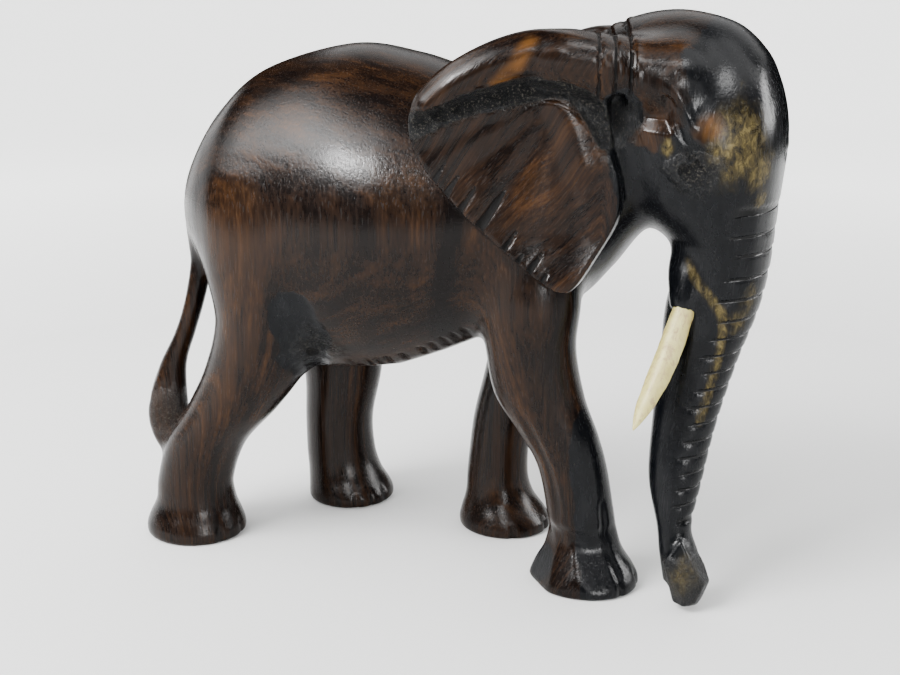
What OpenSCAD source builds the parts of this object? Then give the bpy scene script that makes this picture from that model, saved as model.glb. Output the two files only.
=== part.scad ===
// Carved wooden elephant, walking, with two inset tusks.
// +X runs from tail to forehead, +Y to the elephant's left, +Z up from the soles.

/* [Carving] */
// Length from the tail's tuft to the forehead
carving_l = 136; // [120:1:150]
// Width across the two ears
carving_w = 65; // [58:1:72]
// Height from the soles to the top of the head
carving_h = 114; // [100:1:126]

/* [Tusks] */
// Visible length of a tusk
tusk_l = 27; // [20:1:32]
// Diameter of a tusk at its thickest
tusk_d = 5; // [4.6:0.1:6]
// Diameter of a tusk's tang
tang_d = 3; // [2.4:0.1:3.2]
// Length of a tusk's tang
tang_l = 6; // [4:0.5:7]
// Radial gap for glue round a tang
glue_gap = 0.05; // [0.02:0.01:0.1]

/* [Fineness] */
// Sides of the trunk, legs and tail
limb_sides = 18; // [14:1:22]
// Sides of the body and head
body_sides = 32; // [24:2:40]

/* [Hidden] */

WOOD = [0.20, 0.10, 0.06];
BONE = [0.90, 0.86, 0.72];

// The carving is drawn this long, wide and high, then resized to its driving dimensions.
DRAWN = [136, 65, 114];
GROW = [carving_l / DRAWN.x, carving_w / DRAWN.y, carving_h / DRAWN.z];
// How far the legs are drawn below the floor before the soles are cut flat
SOLE_CUT = 1;

// Body, neck and head: x, top z, bottom z, half width
BODY = [
    [-59.3, 75, 67, 3],
    [-57.8, 81, 62.5, 9],
    [-54, 87.6, 58.5, 15],
    [-47, 96.4, 53, 21],
    [-38, 103, 43, 25],
    [-20, 107.6, 38.6, 27],
    [-6, 105.8, 41, 27],
    [8, 102.3, 47, 25],
    [20, 103.5, 53, 22],
    [30, 108.5, 58, 18.5],
    [36, 111.5, 63, 17],
    [43, 113.4, 71, 18],
    [50, 113.9, 71, 18.3],
    [58, 111.6, 70, 16.5],
    [64, 106, 74, 13],
    [66.6, 99.5, 80, 9],
    [67.9, 94, 86, 4]
];

// Trunk: z, x, y, half length in x, half width in y
TRUNK = [
    [92, 59, 0, 7.5, 9],
    [78, 58.6, 0, 8.3, 10.5],
    [69, 58.4, -0.8, 8.4, 10.4],
    [59, 56.4, -2, 8.9, 9.2],
    [48, 54.6, -4.4, 7.4, 7],
    [36, 53, -7.2, 6.2, 5.8],
    [25, 52.3, -9.8, 5.2, 5],
    [16, 52.9, -11.8, 3.3, 3.8],
    [9, 55.3, -13, 4.8, 4.6],
    [4, 55.4, -13.8, 4.4, 4.2],
    [0.8, 55.4, -14, 2.2, 2.4]
];

// Legs: z, x, y, half length in x, half width in y
FRONT_RIGHT = [
    [74, 21, -11.5, 12.5, 10],
    [60, 23, -13, 11, 9.3],
    [50, 23.8, -13, 9.7, 8.2],
    [40, 25.2, -12.6, 9.5, 7.6],
    [32, 29, -12, 8.2, 7.0],
    [25, 31.8, -11.4, 7, 6.6],
    [14, 33.8, -10.8, 7, 6.7],
    [7, 34.3, -10.4, 8.6, 8],
    [2, 34.4, -10.2, 11.4, 10],
    [-SOLE_CUT, 34.4, -10.2, 11.2, 9.8]
];
FRONT_LEFT = [
    [74, 20, 11.5, 12, 10],
    [60, 18, 12.5, 10.5, 9.3],
    [50, 16, 12.5, 8.8, 8.2],
    [38, 12.4, 12, 6.9, 7.2],
    [26, 9.4, 11.6, 6.6, 6.7],
    [14, 8.3, 11.3, 6.9, 6.8],
    [7, 8.9, 11.2, 8.2, 8],
    [2, 10, 11.2, 10.4, 9.8],
    [-SOLE_CUT, 10.3, 11.2, 10.2, 9.6]
];
HIND_RIGHT = [
    [78, -34, -12, 14, 12],
    [62, -33.8, -14, 13.4, 11.4],
    [50, -34.6, -15.2, 13, 10.4],
    [40, -38.4, -16, 12, 9.4],
    [31, -44, -16.4, 10.6, 8.8],
    [22, -50.4, -16.6, 8.9, 8.4],
    [13, -53.8, -16.7, 8.6, 8.2],
    [7, -54.2, -16.7, 9.2, 8.8],
    [2, -54.3, -16.7, 11.2, 10.5],
    [-SOLE_CUT, -54.2, -16.7, 11, 10.3]
];
HIND_LEFT = [
    [76, -40, 12, 16.5, 12],
    [62, -37.5, 13.4, 15.4, 11.4],
    [50, -35.4, 14, 13.6, 10],
    [40, -32.6, 14.2, 11, 9],
    [31, -31.8, 14.3, 9.2, 8.4],
    [20, -32.5, 14.3, 8.7, 8.2],
    [12, -32.4, 14.3, 8.8, 8.2],
    [6, -31.6, 14.2, 9.4, 8.8],
    [2, -30.8, 14.2, 10.8, 10],
    [-SOLE_CUT, -30.8, 14.2, 10.6, 9.8]
];

// Tail: z, x, y, half length in x, half width in y
TAIL = [
    [80, -52.5, -4, 4, 4.5],
    [71, -54, -7, 3.3, 3.8],
    [63, -53.6, -10, 2.5, 2.8],
    [54, -55, -12, 2.2, 2.5],
    [45, -58.2, -13, 2.3, 2.5],
    [38, -61.6, -13.8, 2.9, 2.9],
    [31, -63, -14.4, 4.5, 3.7],
    [24, -62.2, -14.8, 5, 4],
    [17, -58.8, -15, 3, 3]
];

// Swelling of the right cheek that holds a tusk: z, x, y, half length in x, half width in y
SHEATH = [
    [76, 56, -3, 5, 5],
    [68, 54.2, -6.2, 4.6, 4.6],
    [62.5, 52.9, -8.5, 3.7, 3.7],
    [59.8, 52.3, -9.6, 2.9, 2.9]
];

// Ear: x, z round its outline, from the top front
EAR = [
    [38, 107],
    [27, 111],
    [16, 107.5],
    [7, 101],
    [3.6, 94],
    [5.5, 86],
    [12, 79],
    [22, 70.5],
    [31.6, 63.8],
    [38, 67],
    [44, 77],
    [42, 92]
];
// Where an ear's front edge meets the head
EAR_ROOT = [42, 16];
// How far an ear stands out for each millimetre back from its root
EAR_FLARE = 0.37;
EAR_THICK = 5;

// Right tusk: where its neck leaves the wood, and the way it points
TUSK_ROOT = [52.2, -9.7, 60.2];
TUSK_WAY = [-0.22, -0.46, -0.86];
// How far a tusk stays as thin as its tang, to clear the mouth of its slanting socket
MOUTH = 2;

function unit(v) = v / norm(v);
function mean(points) = [for (k = [0 : 2]) sum([for (p = points) p[k]]) / len(points)];
function sum(list, k = 0) = k == len(list) ? 0 : list[k] + sum(list, k + 1);

// One row of a smooth curve through four rows, t of the way from b to c
function blend_rows(a, b, c, d, t) =
    0.5 * (2 * b + (c - a) * t + (2 * a - 5 * b + 4 * c - d) * t * t
        + (3 * b - a - 3 * c + d) * t * t * t);

// Rows with extra rows between them on a smooth curve
function smooth(rows, steps) =
    let (last = len(rows) - 1)
    [
        for (i = [0 : last - 1])
            for (s = [0 : steps - 1])
                blend_rows(rows[max(i - 1, 0)], rows[i], rows[i + 1],
                    rows[min(i + 2, last)], s / steps),
        rows[last]
    ];

// The same on a closed outline
function smooth_loop(rows, steps) =
    let (n = len(rows))
    [
        for (i = [0 : n - 1])
            for (s = [0 : steps - 1])
                blend_rows(rows[(i + n - 1) % n], rows[i], rows[(i + 1) % n],
                    rows[(i + 2) % n], s / steps)
    ];

// Level ring of a limb, from a row of z, x, y and two half widths
function level_ring(row) = [
    for (k = [0 : limb_sides - 1])
        let (a = 360 * k / limb_sides)
        [row[1] + row[3] * cos(a), row[2] + row[4] * sin(a), row[0]]
];

// Upright ring of the body, from a row of x, top, bottom and half width
function upright_ring(row) = [
    for (k = [0 : body_sides - 1])
        let (a = 360 * k / body_sides)
        [row[0], row[3] * cos(a), (row[1] + row[2]) / 2 - (row[1] - row[2]) / 2 * sin(a)]
];

// Slanted copy of an ear's outline, shrunk about its middle and moved out
function ear_ring(shrink, out) =
    let (line = smooth_loop(EAR, 3))
    let (mid = [25, 90])
    [
        for (p = line)
            let (q = mid + (p - mid) * shrink)
            [q.x, -EAR_ROOT.y - (EAR_ROOT.x - q.x) * EAR_FLARE - out, q.y]
    ];

// Closed skin over rings of points that all have the same count
module skin(rings) {
    n = len(rings[0]);
    last = len(rings) - 1;
    start = n * len(rings);
    points = [for (r = rings) each r, mean(rings[0]), mean(rings[last])];
    walls = [
        for (i = [0 : last - 1])
            for (j = [0 : n - 1])
                let (k = (j + 1) % n)
                each [
                    [i * n + j, i * n + k, (i + 1) * n + k],
                    [i * n + j, (i + 1) * n + k, (i + 1) * n + j]
                ]
    ];
    caps = [
        for (j = [0 : n - 1])
            let (k = (j + 1) % n)
            each [
                [start, k, j],
                [start + 1, last * n + j, last * n + k]
            ]
    ];
    polyhedron(points, concat(walls, caps));
}

module limb(rows) {
    skin([for (row = smooth(rows, 2)) level_ring(row)]);
}

module torso_and_head() {
    skin([for (row = smooth(BODY, 2)) upright_ring(row)]);
}

module ear() {
    half = EAR_THICK / 2;
    skin([
        ear_ring(0.95, half),
        ear_ring(1, half / 3),
        ear_ring(0.99, -half / 2),
        ear_ring(0.9, -half)
    ]);
}

module both_sides() {
    children();
    mirror([0, 1, 0])
        children();
}

// Puts its children on the right tusk's axis, +Z along the way that the tusk points
module on_tusk_axis() {
    way = unit([TUSK_WAY.x * GROW.x, TUSK_WAY.y * GROW.y, TUSK_WAY.z * GROW.z]);
    tilt = acos(way.z);
    turn = atan2(way.y, way.x);
    translate([TUSK_ROOT.x * GROW.x, TUSK_ROOT.y * GROW.y, TUSK_ROOT.z * GROW.z])
        rotate([0, tilt, turn])
            children();
}

module sculpture() {
    torso_and_head();
    limb(TRUNK);
    limb(FRONT_RIGHT);
    limb(FRONT_LEFT);
    limb(HIND_RIGHT);
    limb(HIND_LEFT);
    limb(TAIL);
    both_sides() {
        limb(SHEATH);
        ear();
    }
}

// Drilled hole for a tusk's tang, and a relief that clears the tusk's swelling
module tusk_socket() {
    on_tusk_axis() {
        translate([0, 0, -tang_l - glue_gap])
            cylinder(r = tang_d / 2 + glue_gap, h = tang_l + glue_gap + MOUTH, $fn = 32);
        translate([0, 0, MOUTH - glue_gap])
            cylinder(r = tusk_d / 2, h = 3 * MOUTH, $fn = 32);
    }
}

module carved_body() {
    color(WOOD)
        difference() {
            resize([carving_l, carving_w, carving_h + SOLE_CUT])
                union() sculpture();
            translate([-carving_l, -carving_w, -3 * SOLE_CUT])
                cube([2 * carving_l, 2 * carving_w, 3 * SOLE_CUT]);
            both_sides()
                tusk_socket();
        }
}

// Tusk turned about its own axis: a tang, a swelling and a point
module tusk() {
    tusk_r = tusk_d / 2;
    neck_r = tang_d / 2;
    outline = [
        [0, -tang_l],
        [neck_r, -tang_l],
        [neck_r, MOUTH],
        [tusk_r * 0.86, tusk_l * 0.18],
        [tusk_r, tusk_l * 0.38],
        [tusk_r * 0.88, tusk_l * 0.62],
        [tusk_r * 0.52, tusk_l * 0.86],
        [0, tusk_l]
    ];
    color(BONE)
        on_tusk_axis()
            rotate_extrude($fn = 32)
                polygon(outline);
}

module tusk_right() {
    tusk();
}

module tusk_left() {
    mirror([0, 1, 0])
        tusk();
}

carved_body();
tusk_right();
tusk_left();
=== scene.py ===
"""Looks of the carved wooden elephant: body, two bone tusks, materials, floor, lights and camera.

The carving is drawn in millimetres in the frame of the CAD model, as a distance field that is negative
inside the wood. A net is drawn over the field's surface, and each vertex is then pulled onto it.
"""

import math

import bpy
import numpy as np
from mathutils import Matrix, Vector


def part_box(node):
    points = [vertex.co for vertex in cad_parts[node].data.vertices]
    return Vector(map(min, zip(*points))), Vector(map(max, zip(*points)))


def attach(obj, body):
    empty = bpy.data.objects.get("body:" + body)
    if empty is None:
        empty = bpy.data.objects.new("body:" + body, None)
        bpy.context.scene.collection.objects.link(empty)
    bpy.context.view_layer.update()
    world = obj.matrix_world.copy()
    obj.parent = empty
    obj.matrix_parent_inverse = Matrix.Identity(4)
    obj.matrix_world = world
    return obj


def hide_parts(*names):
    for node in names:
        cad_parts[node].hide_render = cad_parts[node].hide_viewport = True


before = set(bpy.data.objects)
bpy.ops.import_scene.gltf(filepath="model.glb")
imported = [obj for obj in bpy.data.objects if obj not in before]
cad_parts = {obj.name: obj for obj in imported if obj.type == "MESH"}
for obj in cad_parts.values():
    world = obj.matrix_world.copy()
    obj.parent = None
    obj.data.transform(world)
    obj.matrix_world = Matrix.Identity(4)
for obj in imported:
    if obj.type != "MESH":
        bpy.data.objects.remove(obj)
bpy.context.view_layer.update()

MM = 0.001
RIGHT, LEFT = -1, 1

# The size the carving is drawn at, in mm, and how many times larger the CAD body is on each axis.
DRAWN = np.array([136.0, 65.0, 114.0])
low, high = (np.array(corner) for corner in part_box("carved_body"))
GROW = (high - low) / MM / DRAWN


# ---- rows that the wood follows, in mm

# Body, neck and head: x, top z, bottom z, half width
BODY = [
    (-59.5, 72, 70, 0.8),
    (-58.9, 76, 66, 5),
    (-57.4, 81, 62.5, 9.5),
    (-53.8, 87.6, 58, 15),
    (-47, 96.2, 51, 21),
    (-38, 102.8, 42, 25),
    (-20, 107.4, 37, 27),
    (-6, 105.8, 39, 27),
    (8, 102.2, 45, 25),
    (20, 103.4, 51.5, 22),
    (30, 108.6, 58, 18.6),
    (36, 112.0, 64.5, 17.4),
    (43, 113.9, 72.6, 17.8),
    (50, 113.9, 69.6, 18.2),
    (58, 111.6, 67, 16.8),
    (63.4, 106.8, 72, 13.6),
    (66.0, 101.8, 78, 10.2),
    (67.3, 97.6, 83.4, 6.8),
    (67.9, 94.2, 87.4, 3.4),
    (68.0, 92.2, 89.6, 0.8),
]

# Limbs: z, x, y, half length in x, half width in y
TRUNK = [
    (96, 56, 0, 7, 8.5),
    (87, 58, 0, 7.8, 9.8),
    (78, 58.6, 0, 8.3, 10.3),
    (69, 58.4, -0.8, 8.4, 10),
    (59, 56.4, -2, 8.9, 8.8),
    (48, 54.6, -4.4, 7.4, 7),
    (36, 53, -7.2, 6.2, 5.8),
    (25, 52.3, -9.8, 5.2, 5),
    (16, 52.9, -11.8, 3.4, 3.8),
    (11, 54, -12.8, 3.6, 3.8),
    (5, 54.6, -13.4, 3, 3),
]
FRONT_RIGHT = [
    (76, 21, -11, 11, 9),
    (60, 22.4, -12.6, 10.3, 9.3),
    (50, 23, -13, 9.1, 8.2),
    (40, 24.9, -12.6, 9.1, 7.6),
    (32, 28.9, -12, 8.0, 7.0),
    (25, 31.8, -11.4, 7, 6.6),
    (14, 33.8, -10.8, 6.9, 6.7),
    (8, 34.3, -10.5, 7.9, 7.5),
    (3.6, 34.5, -10.2, 10.4, 9.4),
    (1.4, 34.4, -10.2, 11.3, 10),
    (-2, 34.4, -10.2, 11.0, 9.8),
]
FRONT_LEFT = [
    (76, 20, 11, 11, 9),
    (60, 18, 12.2, 10.2, 9.3),
    (50, 16, 12.5, 8.8, 8.2),
    (38, 12.4, 12, 6.9, 7.2),
    (26, 9.4, 11.6, 6.6, 6.7),
    (14, 8.3, 11.3, 6.8, 6.7),
    (8, 8.8, 11.2, 7.6, 7.5),
    (3.6, 9.8, 11.2, 9.7, 9.2),
    (1.4, 10.1, 11.2, 10.4, 9.8),
    (-2, 10.3, 11.2, 10.1, 9.6),
]
HIND_RIGHT = [
    (80, -33, -10, 13, 11),
    (62, -33.6, -13.6, 13.2, 11.2),
    (50, -33.9, -15.2, 12.2, 10.4),
    (40, -37.6, -16, 11.2, 9.4),
    (31, -43.3, -16.4, 10.1, 8.8),
    (22, -50.4, -16.6, 8.9, 8.4),
    (13, -53.8, -16.7, 8.5, 8.1),
    (8, -54.1, -16.7, 8.9, 8.5),
    (4, -54.4, -16.7, 10.5, 9.9),
    (1.6, -54.4, -16.7, 11.2, 10.5),
    (-2, -54.2, -16.7, 10.9, 10.2),
]
HIND_LEFT = [
    (80, -38, 10, 14, 11),
    (62, -37, 13, 14.6, 11.2),
    (50, -35.4, 14, 13.2, 10),
    (40, -32.6, 14.2, 11, 9),
    (31, -31.8, 14.3, 9.2, 8.4),
    (20, -33, 14.3, 8.0, 8.2),
    (12, -32.8, 14.3, 8.2, 8.1),
    (7, -31.8, 14.2, 8.8, 8.5),
    (3.4, -30.6, 14.2, 9.8, 9.6),
    (1.4, -30.2, 14.2, 10.2, 10),
    (-2, -30.2, 14.2, 10.0, 9.8),
]
TAIL = [
    (84, -50, -3, 4, 4.5),
    (74, -53, -6, 3.4, 3.8),
    (66, -53.6, -9, 2.7, 3),
    (60, -53.3, -10.8, 2.3, 2.6),
    (52, -54.7, -12.2, 2.1, 2.4),
    (45, -57.0, -13, 2.2, 2.4),
    (38, -59.9, -13.8, 2.9, 2.8),
    (31, -61.3, -14.4, 4.2, 3.6),
    (25, -61.4, -14.7, 4.8, 4),
    (20, -60.2, -15, 4.2, 3.8),
    (16, -58, -15, 2.6, 3),
]
SHEATH = [
    (78, 55.6, 2.4, 5, 5),
    (68, 53.0, 6.2, 4.5, 4.5),
    (62.5, 52.5, 8.5, 3.5, 3.5),
    (59.6, 52.3, 9.6, 2.7, 2.7),
]

# Ear, x and z round its outline from the top of its front edge
EAR = [
    (39, 107), (33, 109.2), (27, 110.8), (20, 109.3), (12, 105.3), (6.5, 100.6), (3.8, 95.5),
    (4.2, 89.5), (7.6, 84.2), (14, 77.6), (22, 70.6), (28.4, 65.4), (31.6, 63.6), (34.2, 64.4),
    (37.6, 70.2), (41, 77.4), (41.2, 84), (39.4, 91), (38.6, 99),
]
# The ear's front edge lies this far back and out, and it flares out by this much for each mm further back.
EAR_FRONT = (42.0, 17.0)
EAR_FLARE = 0.36
EAR_THICK = 4.6

# The left tusk: where it leaves the cheek, its direction, and its size
TUSK_ROOT = np.array([52.2, 9.7, 60.2])
TUSK_WAY = np.array([-0.22, 0.46, -0.86])
TUSK_WAY = TUSK_WAY / np.linalg.norm(TUSK_WAY)
# From inside the cheek to the tip, and how far back along the tusk it starts
TUSK_LENGTH = 30.0
TUSK_INSIDE = 4.6
TUSK_RADIUS = 2.5


# ---- small tools for fields

def soft_min(a, b, k):
    """Union of two fields with a fillet of about k mm."""
    h = np.clip(0.5 + 0.5 * (b - a) / k, 0, 1)
    return b + (a - b) * h - k * h * (1 - h)


def soft_max(a, b, k):
    """Overlap of two fields, rounded by about k mm."""
    return -soft_min(-a, -b, k)


def smoothstep(low_edge, high_edge, t):
    """0 at low_edge, rising smoothly to 1 at high_edge."""
    s = np.clip((t - low_edge) / (high_edge - low_edge), 0, 1)
    return s * s * (3 - 2 * s)


def hump(d, width):
    """1 at d = 0, falling smoothly to 0 at d = width."""
    s = np.clip(1 - np.abs(d) / width, 0, 1)
    return s * s * (3 - 2 * s)


def curve(points, steps):
    """Smooth open curve through the points (Catmull-Rom), with steps points to each span."""
    p = np.asarray(points, float)
    p = np.vstack([2 * p[0] - p[1], p, 2 * p[-1] - p[-2]])
    out = []
    for a, b, c, d in zip(p, p[1:], p[2:], p[3:]):
        t = np.linspace(0, 1, steps, endpoint=False)[:, None]
        out.append(0.5 * (2 * b + (c - a) * t + (2 * a - 5 * b + 4 * c - d) * t ** 2
                          + (3 * b - a - 3 * c + d) * t ** 3))
    return np.vstack(out + [p[-2][None]])


def line_at(value, pairs):
    """Straight-line table given as (value, result) pairs in rising order."""
    return np.interp(value, *np.array(pairs, float).T)


class Rows:
    """Smooth table of rows. Called with places along it, it gives each column there."""

    def __init__(self, rows):
        table = curve(rows, 24)
        self.table = table[np.argsort(table[:, 0], kind="stable")]

    def __call__(self, t):
        key = self.table[:, 0]
        return [np.interp(t, key, self.table[:, k]) for k in range(1, self.table.shape[1])]

    def slope(self, t, column):
        key = self.table[:, 0]
        apart = np.maximum.accumulate(key + np.arange(len(key)) * 1e-6)
        rise = np.gradient(self.table[:, column], apart)
        return np.interp(t, key, rise)


def oval(du, dv, ru, rv):
    """Distance to an ellipse, near enough at its edge."""
    k1 = np.maximum(np.hypot(du / ru, dv / rv), 1e-6)
    k2 = np.maximum(np.hypot(du / ru ** 2, dv / rv ** 2), 1e-6)
    return k1 * (k1 - 1) / k2


def limb(p, rows):
    """Field of a limb built of level ovals. Past its ends it is closed."""
    cx, cy, rx, ry = rows(p[:, 2])
    d = oval(p[:, 0] - cx, p[:, 1] - cy, rx, ry)
    lean = np.hypot(rows.slope(p[:, 2], 1), rows.slope(p[:, 2], 2))
    d = d / np.sqrt(1 + np.minimum(lean ** 2 + rows.slope(p[:, 2], 3) ** 2, 2.5))
    over = np.maximum(p[:, 2] - rows.table[-1, 0], rows.table[0, 0] - p[:, 2])
    return np.where(over > 0, np.hypot(np.maximum(d, 0), over), np.maximum(d, over))


def to_path(p, path):
    """Distance from each point to a chain of points, and how far along it the nearest place is, 0 to 1."""
    path = np.asarray(path, float)
    best = np.full(len(p), 1e9)
    along = np.zeros(len(p))
    for k in range(len(path) - 1):
        a, ab = path[k], path[k + 1] - path[k]
        t = np.clip(((p - a) @ ab) / (ab @ ab), 0, 1)
        d = np.linalg.norm(p - a - t[:, None] * ab, axis=1)
        nearer = d < best
        best[nearer] = d[nearer]
        along[nearer] = (k + t[nearer]) / (len(path) - 1)
    return best, along


NOISE = np.random.default_rng(7).random((32, 32, 32))


def noise(p, size, offset=0.0):
    """Smooth noise from -1 to 1 with lumps of about size mm."""
    q = p / size + offset
    cell = np.floor(q).astype(int)
    t = q - cell
    t = t * t * (3 - 2 * t)
    total = np.zeros(len(p))
    for dx in (0, 1):
        for dy in (0, 1):
            for dz in (0, 1):
                value = NOISE[(cell[:, 0] + dx) % 32, (cell[:, 1] + dy) % 32, (cell[:, 2] + dz) % 32]
                wx = t[:, 0] if dx else 1 - t[:, 0]
                wy = t[:, 1] if dy else 1 - t[:, 1]
                wz = t[:, 2] if dz else 1 - t[:, 2]
                total += value * wx * wy * wz
    return total * 2 - 1


# ---- strokes cut in the wood

BODY_ROWS, TRUNK_ROWS, TAIL_ROWS, SHEATH_ROWS = (Rows(r) for r in (BODY, TRUNK, TAIL, SHEATH))
LEG_ROWS = [Rows(r) for r in (FRONT_RIGHT, FRONT_LEFT, HIND_RIGHT, HIND_LEFT)]


def stroke(p, f, points, width, depth, sharp=False, taper=(1, 1)):
    """Cuts a groove along a smooth line through the points, or raises a ridge where depth is negative.
    taper is the share of the depth at its two ends."""
    path = curve(points, 6)
    near = np.all((p > path.min(0) - width) & (p < path.max(0) + width), axis=1)
    if not near.any():
        return f
    d, along = to_path(p[near], path)
    share = np.interp(along, [0, 0.3, 0.7, 1], [taper[0], 1, 1, taper[1]])
    profile = np.clip(1 - d / width, 0, 1) if sharp else hump(d, width)
    f = f.copy()
    f[near] += depth * share * profile
    return f


EAR_LINE = [(39.6, 19.0, 92), (40.4, 19.0, 88), (41.6, 18.4, 83), (41.8, 17.2, 77.6)]
# Cuts and ridges on both sides of the head, drawn on the left side: points, width, depth, sharp, taper.
# A negative depth is a ridge.
HEAD_STROKES = [
    # brow fold that runs over the eye and down to the rough patch
    ([(43.6, 17.2, 101.5), (46.5, 18, 100.9), (49.6, 18.3, 98), (51, 18.4, 94.8)],
     1.0, 0.8, True, (0.3, 1)),
    ([(51, 18.4, 94.8), (52.6, 18.2, 91.8), (54.6, 17.6, 89.8), (57.2, 16.6, 89.0)],
     1.3, 1.1, True, (1, 0.3)),
    ([(44, 17.4, 102.8), (47.4, 18, 102.2), (51, 18.2, 98.8), (53.4, 18, 94)],
     1.8, -0.55, False, (0.4, 0.6)),
    # fold from the back end of the eye
    ([(43.2, 18, 98), (42.8, 18, 94.5), (44.8, 18, 89.5), (48, 18, 85.6), (51, 17, 82.5)],
     1.1, 0.5, False, (0.5, 0.2)),
    # dark hollow between the ear and the eye
    ([(40.6, 17.6, 100.8), (39.4, 18.4, 98.2), (39.8, 18.6, 95), (41, 18.8, 92.2)],
     2.9, 3.8, False, (0.5, 0.35)),
    # line down the front of the ear
    (EAR_LINE, 1.1, 1.5, True, (1, 0.8)),
    # back edge of the cheek
    ([(44.4, 18.6, 90), (45, 18.2, 84), (45, 16.4, 78.4)], 1.6, 0.7, False, (0.5, 0.5)),
]

# Places of the neck's cuts, forward along it, how deep they are, and how low they reach
NECK_RINGS = (32.2, 35.2, 38.2)
NECK_RING_DEEP = 0.75
NECK_RING_LOW = 98.6


def neck_place(p):
    """How far forward a point lies on the neck; it grows more slowly round the neck's sides."""
    return p[:, 0] - 0.32 * (np.abs(p[:, 1]) - 6)


def neck_rings(p, f):
    """Three parallel cuts over the neck, behind the head."""
    for place in NECK_RINGS:
        cut = np.clip(1 - np.abs(neck_place(p) - place) / 0.55, 0, 1)
        lip = hump(neck_place(p) - place - 1.1, 0.8)
        f = f + (NECK_RING_DEEP * cut - 0.16 * lip) * smoothstep(NECK_RING_LOW, 101.5, p[:, 2])
    return f


# Heights of the cuts across the front of the trunk, and how deep they are
RINGS = [78.4, 74.1, 70.4, 65.9, 61.7, 57.6, 54.2, 50.9, 47.6,
         44.2, 40.9, 37.5, 34.1, 31.0, 27.8, 24.7, 21.5, 18.5]
RING_DEEP = 0.27


def ring_places(p):
    """How many rings lie above each point, with the fraction, and how far inside their reach it is."""
    cx, cy, rx, ry = TRUNK_ROWS(p[:, 2])
    turn = np.degrees(np.arctan2((p[:, 1] - cy) / ry, (p[:, 0] - cx) / rx))
    ring = np.interp(-p[:, 2] - 0.012 * (np.abs(turn) - 40), -np.array(RINGS), np.arange(len(RINGS)))
    reach = 72 + 6 * np.sin(np.round(ring) * 2.1)
    inside = smoothstep(reach + 10, reach - 6, np.abs(turn)) * smoothstep(42, 45, p[:, 0])
    inside = inside * smoothstep(RINGS[0] + 1.5, RINGS[0] + 0.6, p[:, 2])
    return ring, inside * smoothstep(RINGS[-1] - 1.5, RINGS[-1] - 0.6, p[:, 2])


def trunk_rings(p, f):
    """Stepped cuts across the front of the trunk, each steep above and sloping below."""
    ring, inside = ring_places(p)
    gap = (ring - np.round(ring)) * 3.4
    lip = np.where(gap > 0, np.clip(1 - gap / 1.1, 0, 1), np.clip(1 + gap / 0.3, 0, 1))
    return f + RING_DEEP * lip * inside


def toe_paths():
    """Short upright cuts that mark the toenails, on the front of each foot."""
    paths = []
    for rows, turns in zip(LEG_ROWS, ((-34, 2), (-8, 20), (-30, 5), (-58, -36, -12))):
        cx, cy, rx, ry = (value[0] for value in rows(np.full(1, 2.5)))
        for turn in turns:
            ux, uy = math.cos(math.radians(turn)), math.sin(math.radians(turn))
            foot = np.array([cx + (rx + 0.2) * ux, cy + (ry + 0.2) * uy])
            paths.append([(foot[0], foot[1], -0.5), (foot[0] - 0.3 * ux, foot[1] - 0.3 * uy, 1.8),
                          (foot[0] - 1.2 * ux, foot[1] - 1.2 * uy, 3.6)])
    return paths


# How far forward each wedge in the belly's edge is, and that edge's line: x and z
BELLY_CUTS = [-15.5, -11.6, -9.4, -7.3, -3.5, 0.9, 3.4, 6.0, 8.2, 10.4]
BELLY_EDGE = [(-16, 42.2), (-9, 43), (-3.5, 44.4), (1, 46.1), (6, 48), (9, 49.5), (12, 51)]


def belly_paths():
    """Wedges cut up from the lower edge of the belly, longer towards the front leg."""
    paths = []
    for side in (RIGHT, LEFT):
        for k, x in enumerate(BELLY_CUTS):
            z = line_at(x, BELLY_EDGE)
            rise = 1.7 + 0.12 * k
            paths.append([(x + 0.3, side * 13.4, z - 0.2), (x, side * 15.2, z + 0.5 * rise + 0.4),
                          (x - 0.3 * rise, side * (13.8 + 1.1 * rise), z + rise)])
    return paths


# ---- the ears

EAR_LOOP = curve(EAR + EAR[:1], 5)[:-1]


def loop_distance(x, z, loop):
    """Signed distance in a plane to a closed outline, negative inside."""
    best = np.full(len(x), 1e9)
    inside = np.zeros(len(x), bool)
    for (ax, az), (bx, bz) in zip(loop, np.roll(loop, -1, axis=0)):
        ex, ez = bx - ax, bz - az
        t = np.clip(((x - ax) * ex + (z - az) * ez) / (ex * ex + ez * ez), 0, 1)
        best = np.minimum(best, (x - ax - t * ex) ** 2 + (z - az - t * ez) ** 2)
        crosses = (az > z) != (bz > z)
        if bz != az:
            inside ^= crosses & (x < ax + (z - az) * ex / (bz - az))
    return np.sqrt(best) * np.where(inside, -1, 1)


def ear_sheet(x, z):
    """How far out the middle of an ear lies at x, z."""
    back = EAR_FRONT[0] - x
    curl = 1.6 * smoothstep(75, 64, z) - 1.0 * smoothstep(20, 4, x) * smoothstep(100, 88, z)
    return EAR_FRONT[1] + EAR_FLARE * back - 0.0035 * np.maximum(back - 12, 0) ** 2 + curl


# The rolled upper edge of the ear and the rough groove under it, and where its flutes start: x and z
ROLL = [(39, 105), (33, 106.6), (27, 106.7), (20, 105), (13, 101.4), (8.2, 97.4)]
GROOVE = [(4.6, 93.4), (10, 96.0), (15, 97.9), (21, 99.4), (27, 100.7), (31, 100.9),
          (34.2, 99.2), (37, 95.4), (38.6, 91.6)]
FAN_APEX = (30.6, 99.0)
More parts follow.
